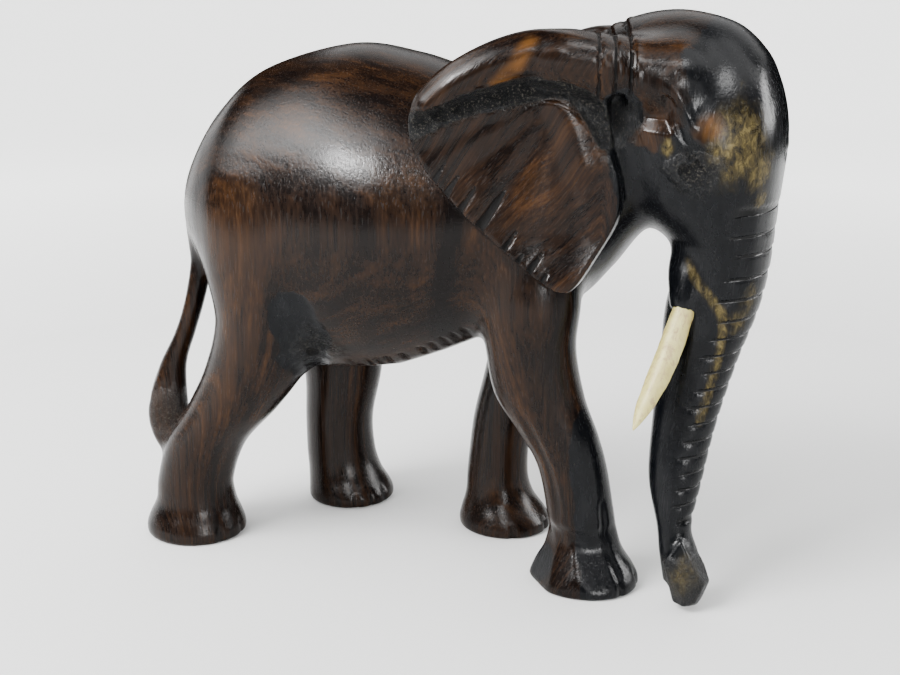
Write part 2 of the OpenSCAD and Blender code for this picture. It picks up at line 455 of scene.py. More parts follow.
# Wedges cut in from the ear's lower edge: where each starts in x and z, its length and its width
NOTCHES = [(8.0, 82.8, 5.0, 0.9), (10.4, 80.6, 5.0, 1.1), (13.2, 78.0, 5.8, 1.1), (16.8, 75.0, 8.6, 1.5),
           (21.4, 71.2, 4.6, 1.0), (24.0, 69.0, 2.2, 0.8), (26.0, 67.2, 4.8, 1.0), (28.4, 65.6, 3.0, 0.8)]
NOTCH_DEEP = 1.05


def on_ear(points, out):
    """Places on an ear's outer face, from points in x and z."""
    x, z = np.array(points, float).T
    return np.column_stack([x, ear_sheet(x, z) + out, z])


def notch_paths():
    """Line and width of each notch in the ear's lower edge."""
    paths = []
    for x, z, length, width in NOTCHES:
        flat = [(x - 0.5, z - 0.8), (x + 0.27 * length, z + 0.42 * length),
                (x + 0.54 * length, z + 0.84 * length)]
        paths.append((on_ear(flat, EAR_THICK / 2 - 0.4), width))
    return paths


def ear(p, y):
    """Field of an ear; y is how far out each point lies on its own side."""
    x, z = p[:, 0], p[:, 2]
    face = np.column_stack([x, y, z])
    edge = loop_distance(x, z, EAR_LOOP)
    ax, az = x - FAN_APEX[0], FAN_APEX[1] - z
    reach = np.hypot(ax, az)
    angle = np.degrees(np.arctan2(az, -ax))
    # flutes that spread from the apex and deepen towards the lower edge
    fan = smoothstep(4, 16, reach) * smoothstep(12, 30, angle) * smoothstep(112, 95, angle)
    flutes = 0.16 * np.sin(np.radians(angle) * 15.5) * fan
    dish = 0.7 * hump(np.hypot(x - 17, z - 88), 15) * smoothstep(100, 94, z)
    ridge_path = on_ear([(31, 98.6), (33.4, 93), (35.2, 87)], 0)[:, [0, 2]]
    ridge_d, _ = to_path(np.column_stack([x, z]), ridge_path)
    ridge = 0.95 * hump(ridge_d, 4.6)
    thick = EAR_THICK / 2 + flutes - dish + ridge
    thin_back = 0.9 * smoothstep(16, 4, x)
    outer = y - ear_sheet(x, z) - thick + thin_back
    inner = ear_sheet(x, z) - EAR_THICK / 2 - y
    slab = np.maximum(outer, inner) * 0.93
    f = soft_max(slab, edge, 0.9)
    roll_d, roll_t = to_path(face, curve(on_ear(ROLL, 0.5), 6))
    f = soft_min(f, roll_d - line_at(roll_t, [(0, 3.6), (0.3, 4.3), (0.6, 4.1), (1, 3.3)]), 1.2)
    f = soft_max(f, edge - 0.15, 0.8)
    groove_d, groove_t = to_path(face, curve(on_ear(GROOVE, EAR_THICK / 2 + 0.2), 4))
    width = line_at(groove_t, [(0, 1.5), (0.15, 2.1), (0.5, 2.5), (0.8, 2.6), (1, 2.0)])
    width = width + 0.8 * noise(p, 1.6, 3.1)
    rough = 1.0 * noise(p, 1.3, 5.3) + 0.5 * noise(p, 0.8, 1.7)
    f = f + (3.1 + rough) * smoothstep(1, 0.35, groove_d / width)
    return edge_notches(face, f)


def edge_notches(face, f):
    """The notches, each deepest at the ear's edge."""
    for path, width in notch_paths():
        f = stroke(face, f, path, 0.62 * width, NOTCH_DEEP, True, (1, 0.1))
    return f


# ---- the whole carving

# End of the trunk: its middle, and its flat facets, each a direction and how far out it lies
TIP_CENTRE = np.array([56.2, -14.4, 7.0])
TIP_FACETS = [
    ((0.86, -0.1, 0.5), 3.1), ((0.93, -0.2, -0.32), 4.3), ((0.45, -0.45, -0.77), 5.9),
    ((-0.2, -0.3, -0.93), 6.1), ((-0.92, -0.3, -0.25), 3.8), ((-0.86, 0.1, 0.5), 4.7),
    ((0.1, -0.97, 0.2), 3.3), ((0.5, -0.86, -0.05), 3.6), ((-0.5, -0.84, -0.2), 3.9),
    ((0.1, 0.98, 0.1), 3.4), ((0.6, 0.78, -0.1), 4.0), ((-0.6, 0.78, -0.2), 4.1),
    ((0.0, 0.5, -0.87), 5.4), ((0.0, 0.0, -1.0), 6.3),
]


def trunk_tip(p):
    """Chiselled end of the trunk, made of flat facets."""
    q = p - TIP_CENTRE
    f = np.full(len(p), -1e9)
    for normal, reach in TIP_FACETS:
        n = np.array(normal) / np.linalg.norm(normal)
        f = soft_max(f, q @ n - reach, 0.25)
    return f


def torso(p):
    """Field of the body, neck and head: upright ovals along x."""
    top, bottom, half = BODY_ROWS(p[:, 0])
    mid, rise = (top + bottom) / 2, np.maximum((top - bottom) / 2, 0.5)
    d = oval(p[:, 1], p[:, 2] - mid, half, rise)
    top_slope, bottom_slope, half_slope = (BODY_ROWS.slope(p[:, 0], k) for k in (1, 2, 3))
    swell = (top_slope - bottom_slope) / 4 + half_slope / 2
    d = d / np.sqrt(1 + np.clip(swell, -1.5, 1.5) ** 2)
    over = np.maximum(p[:, 0] - BODY[-1][0], BODY[0][0] - p[:, 0])
    return np.where(over > 0, np.hypot(np.maximum(d, 0), over), d)


def belly_floor(p):
    """Flat underside of the belly, which gives it its crisp lower edge."""
    edge = [(-40, 30), (-28, 38), (-20, 40.4), (-6, 42.4), (4, 46.4), (14, 51), (24, 54), (34, 50)]
    return line_at(p[:, 0], edge) - p[:, 2]


# Ridge from the head to the top of the ear, on the left side
SHOULDER = [(48, 11.5, 102), (41, 14.6, 103), (35, 18.2, 104), (28, 21.6, 105)]


def wood(p):
    """Field of the whole carving at points in mm, negative inside."""
    y = np.abs(p[:, 1])
    mirrored = np.column_stack([p[:, 0], y, p[:, 2]])
    f = soft_max(torso(p), belly_floor(p), 1.6)
    for rows, blend in zip(LEG_ROWS, (4.5, 4.5, 6, 6)):
        f = soft_min(f, limb(p, rows), blend)
    f = soft_min(f, limb(p, TRUNK_ROWS), 5.5)
    f = soft_min(f, limb(mirrored, SHEATH_ROWS), 1.8)
    f = soft_min(f, trunk_tip(p), 0.8)
    f = soft_min(f, limb(p, TAIL_ROWS), 2.2)
    shoulder, along = to_path(mirrored, curve(SHOULDER, 5))
    f = soft_min(f, shoulder - np.interp(along, [0, 1], [7.4, 4.8]), 3.0)
    for points, width, depth, sharp, taper in HEAD_STROKES:
        f = stroke(mirrored, f, points, width, depth, sharp, taper)
    f = eye(mirrored, f)
    f = rough_patch(mirrored, f)
    f = neck_rings(p, f)
    near_ear = (y > 8) & (p[:, 0] > 0) & (p[:, 0] < 48) & (p[:, 2] > 58)
    if near_ear.any():
        q = mirrored[near_ear]
        joined = 1.0 + 3.5 * smoothstep(96, 103, q[:, 2]) * smoothstep(26, 33, q[:, 0])
        f[near_ear] = soft_min(f[near_ear], ear(q, q[:, 1]), joined)
    f = trunk_rings(p, f)
    for path in belly_paths():
        f = stroke(p, f, path, 0.65, 0.9, True, (1, 0.1))
    for path in toe_paths():
        f = stroke(p, f, path, 1.0, 0.5, True, (1, 0.2))
    f = tail_cuts(p, f)
    f = chiselled_leg(p, f)
    f = knot(p, f)
    return soft_max(f, -p[:, 2], 0.9)


EYE = np.array([46.8, 18.4, 96.6])


def eye(p, f):
    """Notch cut in a low swelling: a tall upper facet that looks down, a short lower one that looks up."""
    near = np.linalg.norm(p - EYE, axis=1) < 8
    if not near.any():
        return f
    q = p[near]
    x, z = q[:, 0], q[:, 2] + 0.10 * (q[:, 0] - EYE[0])
    facets = np.stack([0.32 * (100.0 - z), 0.52 * (z - 92.9), 1.1 * (x - 43.7), 0.9 * (50.1 - x)])
    f = f.copy()
    f[near] += np.clip(facets.min(0), 0, 1.5) - 0.6 * hump(np.hypot(x - EYE[0], 0.9 * (z - EYE[2])), 6.2)
    return f


def rough_patch(p, f):
    """Chiselled patch in front of and under the eye."""
    centre = np.array([53.4, 17.4, 87.4])
    q = p - centre
    u = q[:, 0] * 0.8 - q[:, 2] * 0.6
    v = q[:, 0] * 0.6 + q[:, 2] * 0.8
    spot = hump(np.hypot(u / 1.5, v) + 0.5 * noise(p, 1.6, 9.2), 4.2) * smoothstep(12, 15, p[:, 1])
    chips = np.abs(noise(p, 1.3, 2.2)) + 0.5 * np.abs(noise(p, 0.7, 4.4))
    return f + spot * (0.4 + 2.0 * chips)


# Flat cuts on the right front foot: a direction in x and y, its tilt up, and how far out it lies
FOOT_MIDDLE = np.array([34.4, -10.2, 1.5])
FOOT_CUTS = [((-0.75, -0.66), 0.35, 8.9), ((-0.3, -0.95), 0.45, 9.3), ((0.45, -0.89), 0.55, 9.0),
             ((0.9, -0.42), 0.5, 9.9), ((-0.97, 0.22), 0.30, 10.0), ((0.1, -0.99), 0.15, 9.9),
             ((0.86, 0.5), 0.5, 10.2)]
# Soft creases and a ridge on that leg: points, width, depth, taper
LEG_STROKES = [
    ([(23.4, -19.5, 38), (27.2, -18.6, 29), (29.6, -17.6, 21), (30.2, -17.2, 12)], 1.7, 0.7, (0.2, 0.2)),
    ([(22.2, -19.8, 36), (25.4, -18.8, 28), (27.8, -17.2, 20)], 2.0, -0.5, (0.2, 0.2)),
    ([(38.6, -14.2, 19), (40.4, -14.6, 11), (42.6, -14.8, 4)], 1.5, 0.8, (0.3, 0.6)),
]


def chiselled_leg(p, f):
    """Knife facets on the right front foot, and the creases above it."""
    near = (p[:, 2] < 46) & (p[:, 1] < 3) & (p[:, 0] > 14) & (p[:, 0] < 49)
    if not near.any():
        return f
    q, g = p[near], f[near]
    foot = q - FOOT_MIDDLE
    low = smoothstep(15, 8, q[:, 2])
    for (ax, ay), tilt, reach in FOOT_CUTS:
        n = np.array([ax, ay, tilt]) / math.sqrt(ax * ax + ay * ay + tilt * tilt)
        g = g + low * (soft_max(g, foot @ n - reach, 0.5) - g)
    for points, width, depth, taper in LEG_STROKES:
        g = stroke(q, g, points, width, depth, False, taper)
    f = f.copy()
    f[near] = g
    return f


def tail_cuts(p, f):
    """Hair lines along the tail's tuft, and its rough inner face."""
    for k in range(5):
        y = -11.4 - 1.2 * k
        path = [(-63.8 + 0.25 * k, y, 37), (-66.2 + 0.3 * k, y, 30),
                (-65.4 + 0.4 * k, y - 0.3, 23), (-61.6, y - 0.4, 17.4)]
        f = stroke(p, f, path, 0.7, 0.45, True, (0.2, 0.2))
    spot = np.hypot((p[:, 0] + 60.6) / 0.62, p[:, 2] - 27.6)
    inner = hump(spot, 7.5) * smoothstep(-15.4, -17.4, p[:, 1])
    return f + inner * (0.9 + 0.45 * noise(p, 1.1, 6.1))


# Old knot low on the right flank: its outline in x and z, and its small hole
KNOT = [(-28.2, 57.3), (-26.5, 59.4), (-23.6, 59.8), (-20.8, 59), (-19.4, 56.8), (-18.6, 54), (-17.2, 50.4),
        (-17.6, 47), (-20.2, 43.6), (-22.6, 40), (-26.4, 39.4), (-28.4, 44.6), (-27.4, 48), (-28.9, 51)]
KNOT_HOLE = np.array([-22.6, -19.0, 45.2])


def knot_field(p):
    """Distance inside the knot's outline, ragged, on the right flank; negative outside."""
    wobble = 0.5 * noise(p, 2.4, 8.8) + 0.25 * noise(p, 0.9, 1.8)
    return np.where(p[:, 1] < -8, -loop_distance(p[:, 0], p[:, 2], np.array(KNOT)) + wobble, -9)


def knot(p, f):
    """Sunk, chipped knot with a small hole."""
    near = (np.abs(p[:, 0] + 23) < 9) & (np.abs(p[:, 2] - 50) < 13) & (p[:, 1] < -8)
    if not near.any():
        return f
    q = p[near]
    inside = knot_field(q)
    rough = smoothstep(0.5, 2.0, inside) * smoothstep(54.5, 51, q[:, 2] - 0.5 * (q[:, 0] + 23))
    chips = 0.35 * np.abs(noise(q, 1.1, 3.3)) + 0.4 * np.abs(noise(q, 2.4, 1.3))
    hole = hump(np.linalg.norm(q - KNOT_HOLE, axis=1), 1.4)
    f = f.copy()
    f[near] += 0.25 * smoothstep(-0.2, 0.8, inside) + rough * chips + 1.8 * hole
    return f


# ---- from field to mesh

# Most points that the field is worked out for at once
CHUNK = 150000


def spaced(*spans):
    """Grid lines through spans of (start, end, step)."""
    lines = [np.arange(a, b, step) for a, b, step in spans]
    return np.concatenate(lines + [np.array([spans[-1][1]])])


def resample(values, old, new, axis):
    """Straight-line resampling of an array along one axis."""
    k = np.clip(np.searchsorted(old, new) - 1, 0, len(old) - 2)
    t = (new - old[k]) / (old[k + 1] - old[k])
    shape = [1, 1, 1]
    shape[axis] = len(new)
    t = t.reshape(shape)
    return np.take(values, k, axis) * (1 - t) + np.take(values, k + 1, axis) * t


def sample_field(field, lines, coarse_step=2.0, band=2.6):
    """The field on a grid, exact near the surface and coarse elsewhere."""
    rough_lines = [np.linspace(g[0], g[-1], int((g[-1] - g[0]) / coarse_step) + 2) for g in lines]
    mesh = np.meshgrid(*rough_lines, indexing="ij")
    values = field(np.column_stack([m.ravel() for m in mesh])).reshape(mesh[0].shape)
    for axis in range(3):
        values = resample(values, rough_lines[axis], lines[axis], axis)
    near = np.argwhere(np.abs(values) < band)
    points = np.column_stack([lines[axis][near[:, axis]] for axis in range(3)])
    chunks = np.array_split(points, max(1, len(points) // CHUNK))
    values[tuple(near.T)] = np.concatenate([field(chunk) for chunk in chunks])
    return values


def surface_net(values, lines):
    """Vertices and quads of the field's zero surface, one vertex to each grid cell that it crosses."""
    inside = values < 0
    corners = [(i, j, k) for i in (0, 1) for j in (0, 1) for k in (0, 1)]
    n = [s - 1 for s in values.shape]

    def part(array, corner):
        i, j, k = corner
        return array[i:i + n[0], j:j + n[1], k:k + n[2]]

    count = sum(part(inside, c).astype(np.int8) for c in corners)
    cells = np.argwhere((count > 0) & (count < 8))
    index = np.full(n, -1)
    index[tuple(cells.T)] = np.arange(len(cells))
    total = np.zeros((len(cells), 3))
    hits = np.zeros(len(cells))
    for axis in range(3):
        for c in corners:
            if c[axis]:
                continue
            d = tuple(v + (k == axis) for k, v in enumerate(c))
            at_c = tuple((cells + c).T)
            at_d = tuple((cells + d).T)
            fc, fd = values[at_c], values[at_d]
            crossed = (fc < 0) != (fd < 0)
            t = np.where(crossed, fc / np.where(crossed, fc - fd, 1), 0)
            place = np.column_stack([lines[k][at_c[k]] for k in range(3)])
            place[:, axis] += t * (lines[axis][at_d[axis]] - lines[axis][at_c[axis]])
            total += place * crossed[:, None]
            hits += crossed
    vertices = total / hits[:, None]
    quads = []
    for axis in range(3):
        u, v = (axis + 1) % 3, (axis + 2) % 3
        first = [slice(1, -1)] * 3
        first[axis] = slice(0, -1)
        second = list(first)
        second[axis] = slice(1, None)
        a, b = inside[tuple(first)], inside[tuple(second)]
        for flip, wanted in ((False, a & ~b), (True, b & ~a)):
            base = np.argwhere(wanted)
            base[:, u] += 1
            base[:, v] += 1
            ring = []
            for du, dv in ((-1, -1), (0, -1), (0, 0), (-1, 0)):
                cell = base.copy()
                cell[:, u] += du
                cell[:, v] += dv
                ring.append(index[tuple(cell.T)])
            quad = np.column_stack(ring)
            quads.append(quad[:, ::-1] if flip else quad)
    return vertices, np.vstack(quads)


def gradient(field, p, h=0.12):
    """Slope of the field, from its values h mm to each side."""
    out = np.empty_like(p)
    for axis in range(3):
        step = np.zeros(3)
        step[axis] = h
        out[:, axis] = (field(p + step) - field(p - step)) / (2 * h)
    return out


def pull_to_surface(field, p, rounds=2, most=0.4):
    """Moves each vertex onto the zero surface along the field's slope."""
    for _ in range(rounds):
        slope = gradient(field, p)
        size = np.maximum((slope ** 2).sum(1), 0.2)
        move = slope * (-field(p) / size)[:, None]
        length = np.linalg.norm(move, axis=1)
        p = p + move * np.minimum(1, most / np.maximum(length, 1e-9))[:, None]
    return p


def to_metres(p):
    """Places drawn in mm, in the metres and at the size of the CAD body."""
    return p * GROW * MM


def add_object(name, data):
    obj = bpy.data.objects.new(name, data)
    bpy.context.scene.collection.objects.link(obj)
    return obj


def smooth_mesh(name, vertices, faces, check=False):
    """New object with a smooth-shaded mesh, from places in metres."""
    mesh = bpy.data.meshes.new(name)
    mesh.from_pydata(vertices, [], faces)
    if check:
        mesh.validate()
    mesh.shade_smooth()
    return add_object(name, mesh)


def set_attribute(obj, name, values):
    """Stores three numbers for each vertex."""
    layer = obj.data.attributes.new(name, "FLOAT_VECTOR", "POINT")
    layer.data.foreach_set("vector", np.ascontiguousarray(values, np.float32).ravel())


def make_body():
    """The carving: a net over its field, finer in the front half, where the head and ears are."""
    back, front, across, up = ((0.85, 0.5, 0.6, 0.58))
    lines = [spaced((-71, 1, back), (1, 71, front)), spaced((-35, 35, across)), spaced((-2, 117, up))]
    values = sample_field(wood, lines)
    vertices, quads = surface_net(values, lines)
    vertices = pull_to_surface(wood, vertices)
    vertices[:, 2] = np.maximum(vertices[:, 2], 0)
    obj = smooth_mesh("elephant_carving", to_metres(vertices).tolist(), quads.tolist(), check=True)
    paint(obj, vertices)
    return obj


# ---- paint: where the wood's colours and wear lie

def spots(p, list_of_spots, seed=0.0, tall=1.0):
    """Soft, ragged spots, tall times as high as wide: x, y, z, radius, strength."""
    total = np.zeros(len(p))
    squash = np.array([1, 1, 1 / tall])
    ragged = 0.3 * noise(p * squash, 3.0, seed) + 0.2 * noise(p * squash, 1.2, seed + 3)
    for x, y, z, radius, strength in list_of_spots:
        d = np.linalg.norm((p - np.array([x, y, z])) * squash, axis=1) / radius
        total = np.maximum(total, strength * smoothstep(1.25, 0.2, d + ragged))
    return np.clip(total, 0, 1)


def near_paths(p, paths, width):
    """1 on any of the paths, falling to 0 at width from them."""
    total = np.zeros(len(p))
    for path in paths:
        path = curve(path, 5)
        close = np.all((p > path.min(0) - width) & (p < path.max(0) + width), axis=1)
        if close.any():
            far, _ = to_path(p[close], path)
            total[close] = np.maximum(total[close], smoothstep(width, 0.45 * width, far))
    return total


def grain_places(p):
    """The grain's own coordinates in mm: out from the tree's heart, round it and along it.
    On the flat of the ears the grain leans."""
    x, y, z = p.T
    out = np.abs(y) - ear_sheet(x, z)
    leaf = smoothstep(-4.2, -3.2, out) * smoothstep(1.6, 0.8, loop_distance(x, z, EAR_LOOP))
    leaf = leaf * smoothstep(43, 38, x)
    u = x + 4 - 0.62 * (z - 64) * leaf
    v = y - 44
    ring = np.hypot(0.85 * u, v) + 0.45 * u * leaf
    ring = ring + 0.9 * noise(p * [1, 1, 0.2], 20, 1.1) + 0.25 * noise(p * [1, 1, 0.15], 8, 4.2)
    return np.column_stack([ring, 60 * np.arctan2(u, -v), z + 0.3 * x])


# Dark streaks down the right flank
DARK = [[(12.4, -24.4, 84), (11.5, -24.6, 78), (9.5, -24.4, 68), (7.2, -21, 60), (6.6, -18, 54)],
        [(-16, -22.6, 86), (-14.6, -24.4, 76), (-15, -24.6, 66)]]
# Warmer wood, mostly on the right side: x, y, z, radius, strength
WARM = [
    (-38, -25, 70, 11, 0.75), (-41, -24, 54, 9, 0.6), (-33, -23, 84, 8, 0.6), (-24, -20, 93, 6, 0.7),
    (-18, -16, 100, 6.5, 1), (2, -26, 78, 6.5, 0.9), (7, -25, 71, 6, 0.6), (-31, -25, 52, 4, 0.9),
    (-32, -24, 42, 5, 0.9), (-41, -24, 30, 8, 0.5), (27, -20, 42, 7, 0.9), (28, -19, 31, 5, 0.8),
    (24, -22, 54, 8, 0.6), (26, -25, 82, 5, 0.9), (36, -21, 80, 5, 0.7), (13, -29, 103, 6, 0.8),
    (33, -23, 104, 6, 0.8), (14, -29, 87, 5, 0.7), (47, -16, 104, 6, 0.8), (47, -18, 90, 4, 1),
    (30, -23, 72, 5, 0.7), (-52, -17, 10, 7, 0.5),
]


def black_and_shade_depth(p, mirrored, groove):
    """How far inside the black each point lies, in mm; negative outside it. It is the black heartwood of
    the forehead and throat, the front of the right front leg and the knot, and painted shade in the ears'
    hollows and grooves and along the cut down each ear's front."""
    x, y, z = p.T
    head_edge = [(78, 43), (88, 46), (94, 51.5), (99, 52.5), (106, 50.5), (112, 54)]
    leg_edge = [(0, 36.5), (5, 36), (9, 34.2), (20, 34.0), (27, 32.8), (36, 33), (40, 35)]
    right_front = np.where((y < 0) & (x < 48), 9.0, -9.0)
    return np.maximum.reduce([
        0.35 * (x - line_at(z, head_edge)),
        np.minimum.reduce([x - 30.5, z - 50, 16 - np.abs(y) + 0.4 * (x - 32),
                           0.5 * (90.5 - 0.35 * (x - 44) - z)]),
        np.minimum.reduce([x - line_at(z, leg_edge), 39 - z, right_front]),
        4.2 - np.linalg.norm(p - np.array([26.0, -14.5, 4.5]), axis=1),
        # painted shade: the black in the hollow between the ear and the eye, along the cut down the ear's
        # front and in the ear's groove
        4.6 - np.linalg.norm((mirrored - np.array([40.2, 17.5, 97])) * [1, 1, 0.8], axis=1),
        2.0 - to_path(mirrored, EAR_LINE)[0],
        2.3 - groove,
        knot_field(p),
    ])


def slit_shade_depth(p, mirrored):
    """How far inside the painted shade of a slit each point lies, in mm; negative outside. The belly's
    wedges, the toe cuts, the head's cuts, the ear notches, the knot's hole and the neck's rings are painted
    dark where shade falls in them.
    """
    depth = np.full(len(p), -3.0)
    cuts = [(path, p, 0.45) for path in belly_paths()] + [(path, p, 0.34) for path in toe_paths()]
    for points, width, cut, _, _ in HEAD_STROKES[:-1]:
        if cut > 0.5:
            cuts.append((points, mirrored, 0.42 * width))
    for path, places, half in cuts:
        path = curve(path, 5)
        close = np.all((places > path.min(0) - 3) & (places < path.max(0) + 3), axis=1)
        if close.any():
            d, along = to_path(places[close], path)
            depth[close] = np.maximum(depth[close], half * (1 - 0.8 * along) - d)
    flat = mirrored[:, [0, 2]]
    on_leaf = (mirrored[:, 1] > ear_sheet(*flat.T)) & (flat[:, 0] < 34) & (flat[:, 1] < 92)
    for path, width in notch_paths():
        d, along = to_path(flat[on_leaf], path[:, [0, 2]])
        depth[on_leaf] = np.maximum(depth[on_leaf], 0.72 * width * (1 - 0.7 * along) - d)
    depth = np.maximum(depth, 1.2 - np.linalg.norm((p - KNOT_HOLE) * [1, 0.5, 0.8], axis=1))
    for place in NECK_RINGS:
        ring = 0.26 - np.abs(neck_place(p) - place)
        depth = np.maximum(depth, np.where(p[:, 2] > NECK_RING_LOW, ring, -3))
    return depth


# Golden wood: x, y, z, radius, strength; and the golden line down the tusk's sheath and the trunk
GOLD = [
    (62.0, -14.6, 91.5, 6.0, 1), (60, -15.8, 94, 4.6, 0.8), (64.3, -11.5, 86, 3.4, 0.9),
    (64.8, -10, 81, 2.2, 0.7), (62, 13, 93, 5.0, 0.6), (49.2, -18.4, 90.2, 1.2, 1),
    (63.8, -7, 62, 2.2, 0.6), (62.6, -8.5, 57, 2.2, 0.7), (56, -17, 7.5, 3.4, 0.5),
    (6.2, -32, 88, 1.6, 0.7), (11.4, -30, 83, 1.2, 0.9),
]
GOLD_LINE = [(52.3, -11.4, 69.2), (54.5, -11.6, 65.5), (58, -11, 61), (59.6, -10, 58), (59, -9.6, 50),
             (56.6, -11.4, 38)]
ORANGE = [(56.4, -17, 94.2, 2.7, 1)]
ORANGE_STREAK = [(26.5, 28, 109.5), (24.4, 28, 105.5), (21.0, 28, 101.4)]
# Chiselled and unpolished places, on both sides of the head, and on the right side only
ROUGH_BOTH = [(54.4, 17.2, 86.6, 5.0, 1), (40.4, 18, 95, 4.2, 0.7), (46.6, 18, 97.8, 2.4, 0.3)]
ROUGH_RIGHT = [(-21.4, -19, 47.5, 5.6, 0.6), (-60.0, -18, 27.5, 5.6, 0.8)]


def paint(obj, p):
    """Stores for each vertex the grain's coordinates, how golden, orange and warm it is, how black (dark
    heartwood, and painted shade in the ears' hollows and grooves), how deep in a slit's painted shade, how
    rough (which also places painted glints), and its place among the trunk's rings."""
    mirrored = np.column_stack([p[:, 0], np.abs(p[:, 1]), p[:, 2]])
    groove, _ = to_path(mirrored, curve(on_ear(GROOVE, EAR_THICK / 2 - 0.6), 4))
    gold = np.maximum(spots(p, GOLD, 9.0, 1.3), near_paths(p, [GOLD_LINE], 1.2) * 0.75)
    orange = spots(p, ORANGE, 4.0)
    streak, _ = to_path(mirrored, ORANGE_STREAK)
    orange = np.maximum(orange, smoothstep(2.4, 0.6, streak + 0.5 * noise(p, 2.2, 1)))
    trunk_end = smoothstep(12, 9, p[:, 2]) * smoothstep(46.5, 49, p[:, 0]) * 0.6
    rough = np.maximum.reduce([smoothstep(2.8, 1.8, groove + 0.4 * noise(p, 1.5, 7.0)), trunk_end,
                               spots(mirrored, ROUGH_BOTH, 2.0), spots(p, ROUGH_RIGHT, 5.0)])
    ring, inside = ring_places(p)
    set_attribute(obj, "grain", grain_places(p))
    warm = spots(p, WARM, 6.0, 2.5)
    warm = warm - 1.5 * near_paths(p, DARK, 2.0) - 0.8 * near_paths(p, DARK, 4.0)
    set_attribute(obj, "tint", np.column_stack([gold, orange, warm]))
    # black: the dark heartwood, and painted shade in the ears' hollows and grooves
    black_and_shade, slit_shade = black_and_shade_depth(p, mirrored, groove), slit_shade_depth(p, mirrored)
    # slit: painted shade in the cuts
    set_attribute(obj, "depth", np.column_stack([black_and_shade, slit_shade, rough]))
    # rings: places for the painted shade line along each cut on the trunk
    set_attribute(obj, "rings", np.column_stack([ring, inside, np.zeros(len(p))]))


# ---- tusks

# Share of its largest radius that the tusk has, from its root at 0 to its tip at 1
TUSK_PROFILE = [(0, 0.45), (0.03, 0.66), (0.1, 0.77), (0.22, 0.85), (0.4, 0.91), (0.62, 0.88),
                (0.82, 0.66), (0.93, 0.37), (0.985, 0.13), (1, 0.02)]


def make_tusk(name, side):
    """Bone tusk: oval, slightly bent, with a few flat cuts left by the knife."""
    around, along = 40, 64
    across = np.cross(TUSK_WAY, (0, 1, 0))
    across = across / np.linalg.norm(across)
    out = np.cross(across, TUSK_WAY)
    root = TUSK_ROOT - TUSK_WAY * TUSK_INSIDE + np.array([0.1, 0.9, 0])
    rings = []
    for s in np.concatenate([[-0.004], np.linspace(0, 1, along - 1)]):
        t = max(s, 0.0)
        radius = TUSK_RADIUS * line_at(t, TUSK_PROFILE)
        bend = 1.1 * math.sin(math.pi * t) + 0.6 * t * t
        middle = root + TUSK_WAY * s * TUSK_LENGTH + across * bend * 0.8 - out * 0.5 * bend
        middle = middle - np.array([1.1 * t, 0, 0])
        turn = np.linspace(0, 2 * math.pi, around, endpoint=False)
        oval_u = radius * (1.0 + 0.045 * np.cos(turn * 3 + 1 + t * 2))
        oval_v = radius * (0.86 + 0.05 * np.cos(turn * 2 + t * 5))
        rings.append(middle + np.outer(oval_u * np.cos(turn), across)
                     + np.outer(oval_v * np.sin(turn), out))
    vertices = np.vstack(rings)
    flat = 0.09 * noise(vertices, 3.2, 2.7) + 0.05 * noise(vertices, 1.1, 6.4)
    centre = np.repeat(np.array([r.mean(0) for r in rings]), around, axis=0)
    push = vertices - centre
    size = np.maximum(np.linalg.norm(push, axis=1, keepdims=True), 1e-6)
    vertices = vertices + push / size * np.minimum(flat, size[:, 0] * 0.3)[:, None]
    vertices[:, 1] *= side
    a = np.arange(along - 1)[:, None] * around + np.arange(around)[None]
    b = np.arange(along - 1)[:, None] * around + (np.arange(around)[None] + 1) % around
    quads = np.stack([a, b, b + around, a + around], -1).reshape(-1, 4)
    faces = [tuple(q if side == RIGHT else q[::-1]) for q in quads.tolist()]
    ends = [tuple(range(around)), tuple(range((along - 1) * around, along * around))]
    ends = [ends[0][::-1], ends[1]] if side == RIGHT else [ends[0], ends[1][::-1]]
    return smooth_mesh(name, to_metres(vertices).tolist(), faces + ends)


# ---- materials

# The floor's glow: how far from the figure it starts and is full, in metres, and its strength
GLOW_STARTS, GLOW_FULL, GLOW = 0.22, 0.60, 1.25


